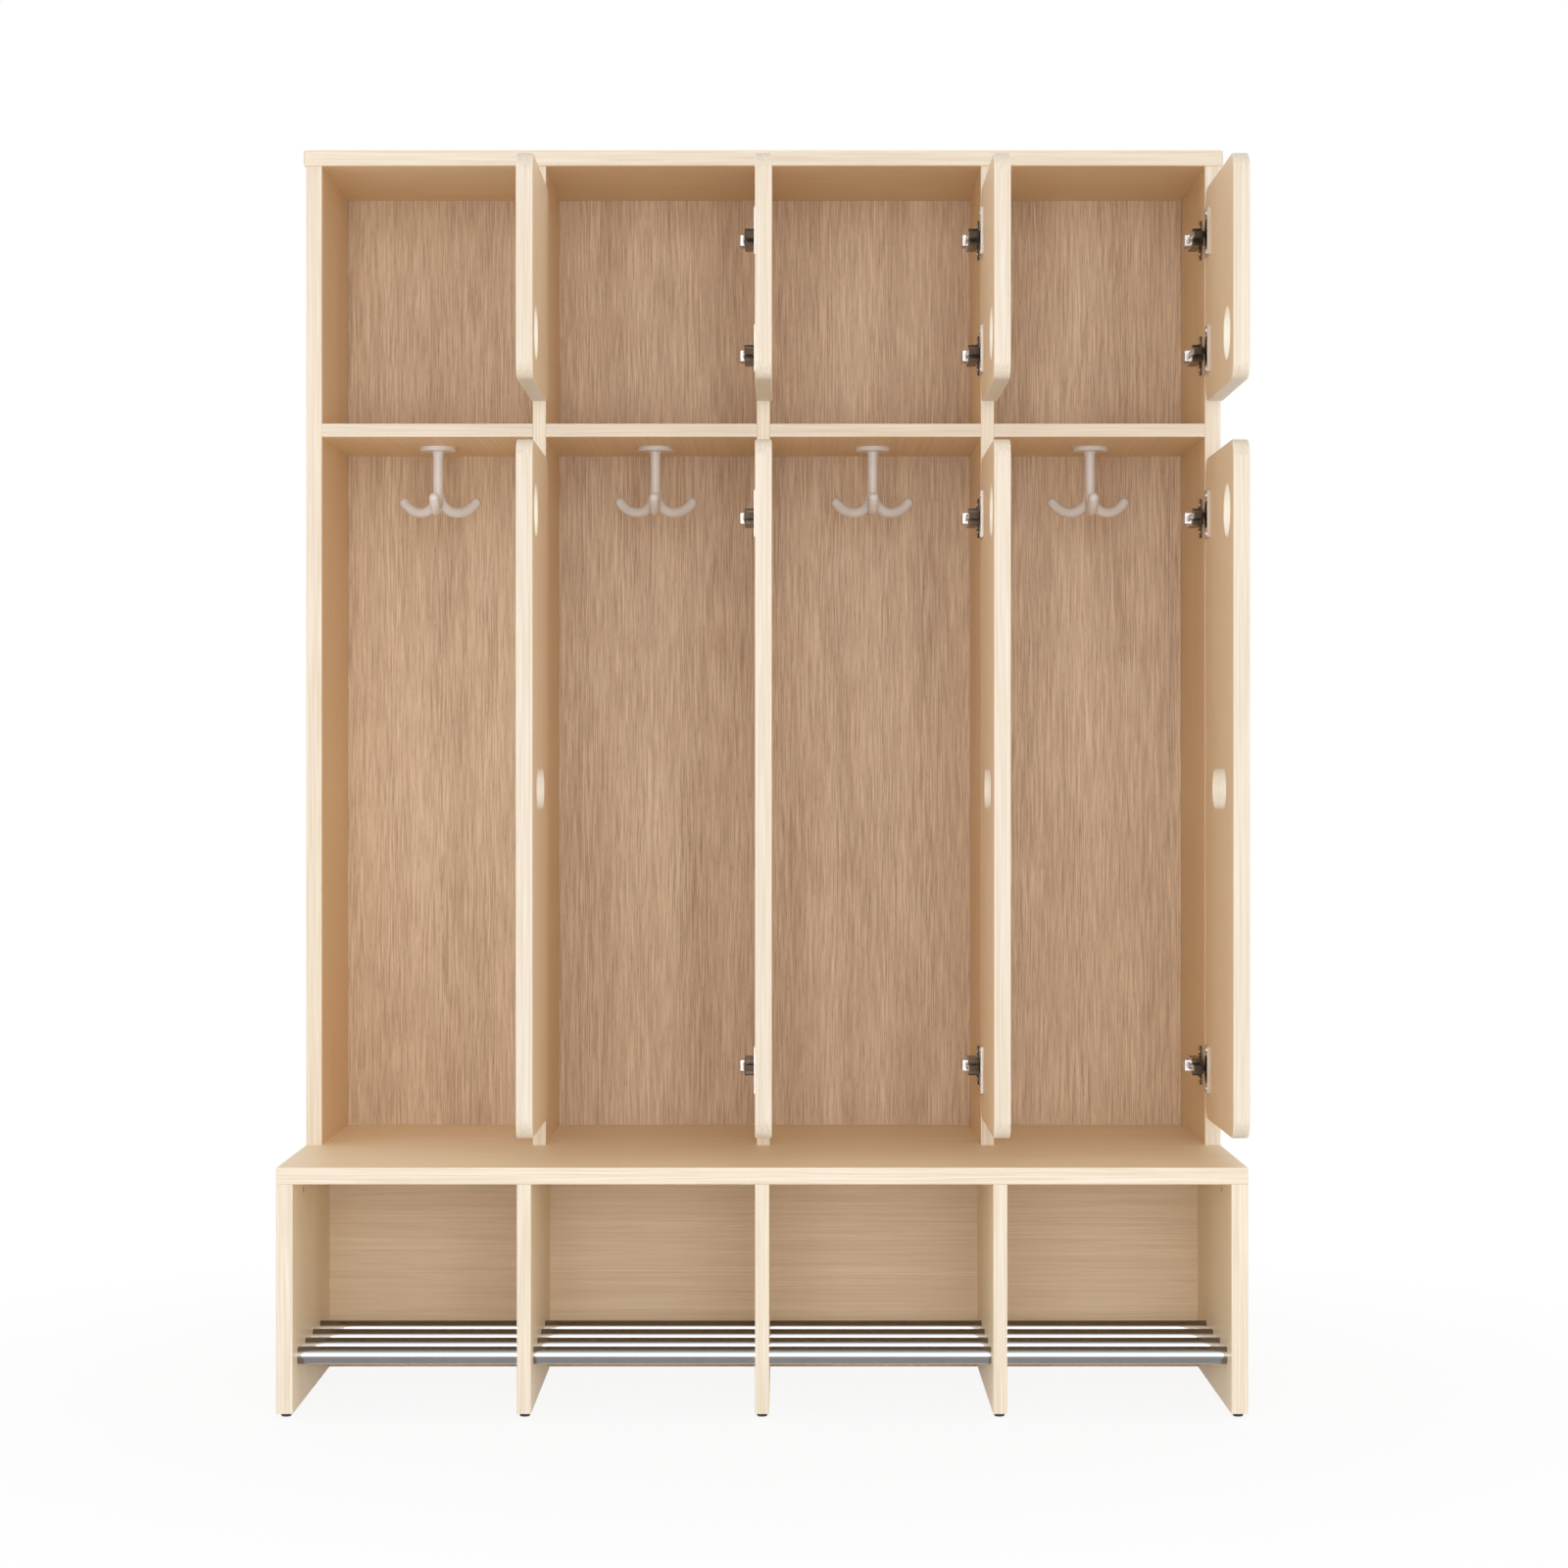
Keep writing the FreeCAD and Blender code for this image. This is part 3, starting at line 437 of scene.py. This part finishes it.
upright_board = board_finish("upright_board", LOCKER_FACE, EDGE, UPRIGHT, X_AXIS)
leg_board = board_finish("leg_board", BENCH_FACE, EDGE, UPRIGHT, X_AXIS)
level_board = board_finish("level_board", LOCKER_FACE, EDGE, LEVEL, Z_AXIS)
seat_board = board_finish("seat_board", BENCH_FACE, EDGE, LEVEL, Z_AXIS)
shelf_board = board_finish("shelf_board", LOCKER_FACE, DOOR_EDGE, INWARD, Z_AXIS,
                           face_grain=SHELF_GRAIN, edge_turn=LEVEL)
door_board = board_finish("door_board", DOOR_FACE, DOOR_EDGE, UPRIGHT, X_AXIS, face_grain=DOOR_GRAIN)
boards = (upright_board, leg_board, level_board, seat_board, shelf_board, door_board)
print("board finishes:", [finish.name for finish in boards])

# %% [markdown]
# ## Back panels
# The panel behind the lockers has the strongest figure on the bench: fine dark lines, broken into short
# lengths. The back of a shoe bay has the same kind of figure, turned on its side and quieter.

# %% Back panel finishes
STREAKY = ((0.96, 0.775, 0.585), (0.50, 0.336, 0.217))
# The quiet panel's pale pair is partly its own tone and partly painted light for the shade under the seat.
QUIET = ((0.99, 0.81, 0.60), (0.83, 0.64, 0.445))
STREAKY_GRAIN = (0.58, 0.16, 0.26, 0.16)
QUIET_GRAIN = (0.45, 0.35, 0.25, 0.1)

streaky_panel = board_finish("streaky_panel", STREAKY, STREAKY, UPRIGHT, Y_AXIS, face_grain=STREAKY_GRAIN,
                             edge_grain=STREAKY_GRAIN, bump=0.1, shorter=2.2, finer=1.55)
quiet_panel = board_finish("quiet_panel", QUIET, QUIET, LEVEL, Y_AXIS, offset=(0.2, 0.7, 0.3),
                           face_grain=QUIET_GRAIN, edge_grain=QUIET_GRAIN, bump=0.08)
print("panel finishes:", streaky_panel.name, quiet_panel.name)

# %% [markdown]
# ## Plastic and metal
# The hooks are cream plastic: smooth, with a faint cloudiness that only shows in the highlights. The
# glides are black and duller. The metals differ in colour and polish: chrome on the rails, which carry a
# painted reflection, nickel on the hinge cups and dull zinc on the screws. The hinge arms and plates are
# nickel darkened to a brown, a painted dark reflection. The cams are pale above the seat and a plain
# brown with no shine of metal below it, where the brown is painted shade. Each finish has a fine smear in
# its roughness, so that no highlight is quite even.

# %% Plastic and metal finishes
CLOUD_RANGE = (0.3, 0.7)
SKIN_RELIEF = 0.0002


def smooth_finish(name, pale, deep, rough, metal, clouds, skin, bump, coat=0.0):
    """A moulded or plated finish: two near tones, a smear in the gloss and a fine relief."""
    material, tree, shader, coordinates = plain_material(name)
    place = coordinates.outputs["Object"]
    cloud = stretched_noise(tree, place, "cloud", clouds, clouds, detail=3.0, roughness=0.6)
    cloud = remap(tree, cloud, *CLOUD_RANGE)
    colour = blend_colours(tree, cloud, (*pale, 1), (*deep, 1))
    tree.links.new(colour, shader.inputs["Base Color"])
    tree.links.new(remap(tree, cloud, 0, 1, *rough), shader.inputs["Roughness"])
    shader.inputs["Metallic"].default_value = metal
    shader.inputs["Coat Weight"].default_value = coat
    height = stretched_noise(tree, place, "skin", skin, skin, detail=2.0, roughness=0.5)
    add_relief(tree, shader, height, bump, SKIN_RELIEF)
    return material


cream_plastic = smooth_finish("cream_plastic", (0.85, 0.84, 0.845), (0.82, 0.805, 0.805),
                              rough=(0.28, 0.36), metal=0.0, clouds=60, skin=900, bump=0.03, coat=0.3)
black_plastic = smooth_finish("black_plastic", (0.02, 0.02, 0.02), (0.035, 0.034, 0.033),
                              rough=(0.45, 0.6), metal=0.0, clouds=200, skin=1500, bump=0.1)
# The chrome's dark base tone is part of a painted reflection: the tube's top and underside stay dark.
chrome = smooth_finish("chrome", (0.245, 0.24, 0.24), (0.225, 0.22, 0.22),
                       rough=(0.05, 0.08), metal=1.0, clouds=40, skin=600, bump=0.004)
nickel = smooth_finish("nickel", (0.70, 0.67, 0.64), (0.62, 0.59, 0.56),
                       rough=(0.14, 0.2), metal=1.0, clouds=150, skin=1200, bump=0.02)
# Painted dark reflection: the hinge plates and arms are nickel darkened to a brown.
plate_metal_painted_dark = smooth_finish("plate_metal_painted_dark", (0.13, 0.098, 0.075), (0.105, 0.08, 0.06),
                            rough=(0.2, 0.28), metal=1.0, clouds=150, skin=1200, bump=0.02)
arm_metal_painted_dark = smooth_finish("arm_metal_painted_dark", (0.07, 0.05, 0.035), (0.06, 0.043, 0.03),
                          rough=(0.2, 0.28), metal=1.0, clouds=150, skin=1200, bump=0.02)
zinc = smooth_finish("zinc", (0.52, 0.52, 0.51), (0.45, 0.45, 0.44),
                     rough=(0.3, 0.42), metal=1.0, clouds=200, skin=1500, bump=0.05)
# The cams' brown base is painted shade for the cams under the seat; those above it take a pale tone.
cam_metal = smooth_finish("cam_metal", (0.40, 0.28, 0.18), (0.36, 0.25, 0.16),
                          rough=(0.4, 0.5), metal=0.0, clouds=150, skin=1200, bump=0.02)
smooth = (cream_plastic, black_plastic, chrome, nickel, plate_metal_painted_dark, arm_metal_painted_dark, zinc, cam_metal)
print("smooth finishes:", [finish.name for finish in smooth])

# %% [markdown]
# ## Dowels
# The dowels are hidden in the boards. They take a plain beech, made like a board finish.

# %% Dowel finish
BEECH = ((0.72, 0.52, 0.33), (0.58, 0.40, 0.24))
dowel_wood = board_finish("dowel_wood", BEECH, EDGE, UPRIGHT, Z_AXIS)
print("dowel finish:", dowel_wood.name)

# %% [markdown]
# ## Masks for second tones
# Some pieces change colour from place to place, each by a painted light or shade. A hinge arm is dark,
# a painted dark reflection, and its outer end and release lever keep a bright nickel. The cams are pale
# inside the lockers and brown below the seat, a painted shade. The holes of the doors have pale walls,
# painted light. The rails are dark on top, white in front and grey below, a painted reflection. Each mask
# is a value from 0 to 1 that follows from where a point lies or, on the rails, from which way it faces.
# The hinges repeat from locker to locker, and so does their mask.

# %% Masks
LOCKER_PITCH = 0.2695
FIRST_HINGE_FACE = -0.2775
LEVER_FROM_FACE = 0.0143
LEVER_BLEND = 0.0003
SEAT_MIDDLE = 0.2725
SEAT_BLEND = 0.0025
FINGER_HOLE_HALF = (0.030, 0.030)
HAND_SLOT_HALF = (0.064, 0.0225)
DOOR_HOLES = (
    ((-0.20575, 1.234), FINGER_HOLE_HALF, 1.0),
    ((-0.20575, 1.031), FINGER_HOLE_HALF, 1.0),
    ((-0.13325, 0.7125), HAND_SLOT_HALF, 0.4),
)
HOLE_FADE = (1.4, 1.5)
TUBE_TOP_FADE = (0.42, 0.56)
TUBE_FOOT_FADE = (-0.12, 0.12)


def outside_of_arm(tree, parts):
    """1 on the outer end of a hinge arm and its lever, which keep a bright nickel, 0 nearer to the upright,
    where the arm takes a painted dark reflection.
    """
    steps = arithmetic(tree, "SUBTRACT", parts.outputs["X"], FIRST_HINGE_FACE)
    steps = arithmetic(tree, "ADD", arithmetic(tree, "DIVIDE", steps, LOCKER_PITCH), 0.5)
    share = arithmetic(tree, "FRACT", arithmetic(tree, "ADD", steps, 1.0))
    from_face = arithmetic(tree, "MULTIPLY", arithmetic(tree, "SUBTRACT", share, 0.5), LOCKER_PITCH)
    return remap(tree, from_face, -LEVER_FROM_FACE - LEVER_BLEND, -LEVER_FROM_FACE, 1, 0)


def above_painted_seat_shade(tree, parts):
    """1 above the seat board, 0 under it, where the cams take a painted shade."""
    return remap(tree, parts.outputs["Z"], SEAT_MIDDLE - SEAT_BLEND, SEAT_MIDDLE + SEAT_BLEND)


def painted_light_on_hole_walls(tree, parts):
    """Where a painted light goes: 1 on the walls of a door's finger hole, less in its hand slot: narrow
    sides close to a centre.
    """
    mask = 0.0
    for centre, half, share in DOOR_HOLES:
        squares = []
        for axis, middle, size in zip("YZ", centre, half):
            off = arithmetic(tree, "SUBTRACT", parts.outputs[axis], middle)
            off = arithmetic(tree, "DIVIDE", off, size)
            squares.append(arithmetic(tree, "MULTIPLY", off, off))
        reach = arithmetic(tree, "SQRT", arithmetic(tree, "ADD", *squares))
        mask = arithmetic(tree, "ADD", remap(tree, reach, *HOLE_FADE, share, 0), mask)
    edges = next(node for node in tree.nodes if node.label == "band")
    return arithmetic(tree, "MULTIPLY", mask, edges.outputs["Band"])


def painted_reflection_on_tube(tree, parts):
    """Where a painted reflection goes: 1 where a tube faces level or a little upwards, 0 on its top and its
    underside.
    """
    below_top = remap(tree, parts.outputs["Z"], *TUBE_TOP_FADE, 1, 0)
    above_foot = remap(tree, parts.outputs["Z"], *TUBE_FOOT_FADE)
    return arithmetic(tree, "MULTIPLY", below_top, above_foot)


print("masks for", len(DOOR_HOLES), "kinds of hole, and for arms, cams and tubes")

# %% [markdown]
# ## Second tones
# A second tone is laid over a finish that is already there: its colour is mixed with the new one by the
# mask, just before the shader.


# %% Lay the second tones
def second_tone(material, mask_of, tone, reads="Object"):
    """Lays a second colour over a finish, with a mask made from its object coordinates or normal."""
    tree = material.node_tree
    coordinates = next(node for node in tree.nodes if node.type == "TEX_COORD")
    parts = add(tree, "ShaderNodeSeparateXYZ")
    tree.links.new(coordinates.outputs[reads], parts.inputs[0])
    socket = tree.nodes["Principled BSDF"].inputs["Base Color"]
    first = socket.links[0].from_socket
    tree.links.new(blend_colours(tree, mask_of(tree, parts), first, (*tone, 1)), socket)
    print(material.name, "has a second tone,", mask_of.__name__)


# The hinge arm's dark base is a painted dark reflection; its outer end and lever keep a bright nickel tone.
second_tone(arm_metal_painted_dark, outside_of_arm, tone=(0.58, 0.56, 0.55))
# Painted shade: the cams keep a brown tone under the seat and turn pale above it.
second_tone(cam_metal, above_painted_seat_shade, tone=(0.86, 0.72, 0.55))
# Painted light: the walls of the door holes take a pale tone, as if side light fell into them.
second_tone(door_board, painted_light_on_hole_walls, tone=(1.0, 0.93, 0.80))
# A painted reflection: the rails turn pale where they face forward and stay dark on top and beneath.
second_tone(chrome, painted_reflection_on_tube, tone=(0.80, 0.81, 0.84), reads="Normal")

# %% [markdown]
# ## Dress the nodes
# Each CAD node now takes its finish. A node's name says what it is, so a short list of name starts is
# enough, and the print shows which node took which finish.

# %% Dress
finish_of = [
    ("side_panel", upright_board), ("divider", upright_board), ("leg", leg_board),
    ("top_board", level_board), ("seat_board", seat_board), ("shelf", shelf_board),
    ("back_panel", streaky_panel), ("bench_back", quiet_panel),
    ("coat_hook", cream_plastic), ("shoe_rail", chrome), ("foot_glides", black_plastic),
    ("hook_studs", zinc), ("hinge_screws", zinc), ("back_screws", zinc), ("cam_bolts", zinc),
    ("cam_locks", cam_metal), ("hinge_plates", plate_metal_painted_dark), ("hinge_arms", arm_metal_painted_dark),
    ("dowels", dowel_wood),
]


def finish_for(name):
    """The finish of a node, from its name."""
    if name.endswith("hinge_cups"):
        return nickel
    if "door" in name:
        return door_board
    return next(material for start, material in finish_of if name.startswith(start))


for name, node in sorted(nodes.items()):
    node.data.materials.clear()
    node.data.materials.append(finish_for(name))
    print(name, "wears", node.data.materials[0].name)
